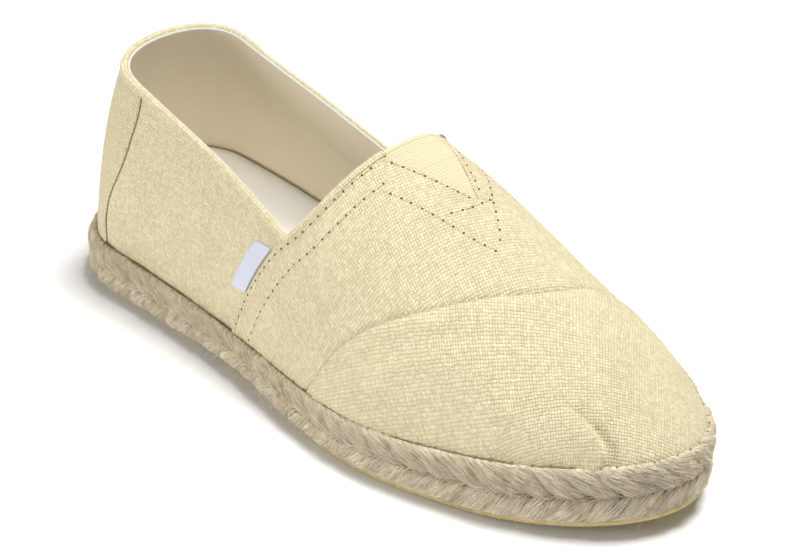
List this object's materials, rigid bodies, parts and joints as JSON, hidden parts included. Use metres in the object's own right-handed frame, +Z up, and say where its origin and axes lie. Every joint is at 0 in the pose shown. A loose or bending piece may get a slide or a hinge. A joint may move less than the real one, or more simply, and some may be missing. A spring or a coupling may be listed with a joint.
{
  "type": "espadrille",
  "caption": "Right-foot canvas slip-on shoe on a plaited rope sole, with an elastic gusset at the throat and a thin rubber outsole.",
  "frame": {"origin": "centre of the bounding box in plan, at the floor under the outsole", "axes": "+X from heel to toe, +Y towards the inner side of the foot, +Z up"},
  "size_m": [0.256, 0.0954, 0.0857],
  "materials": {
    "rubber_sheet": "matt, slightly rough, yellow tan with grey flecks",
    "jute_rope": "plaited hairy jute",
    "insole_cloth": "smooth cloth over a cupped foam pad",
    "canvas": "plain-weave cotton canvas, matt",
    "elastic": "fine ribbed elastic web",
    "ribbon": "woven white ribbon, bare"
  },
  "bodies": {
    "root": {"outsole": "rubber_sheet", "midsole": "jute_rope", "insole": "insole_cloth", "upper": "canvas", "gore": "elastic", "side_tag": "ribbon"}
  },
  "joints": []
}
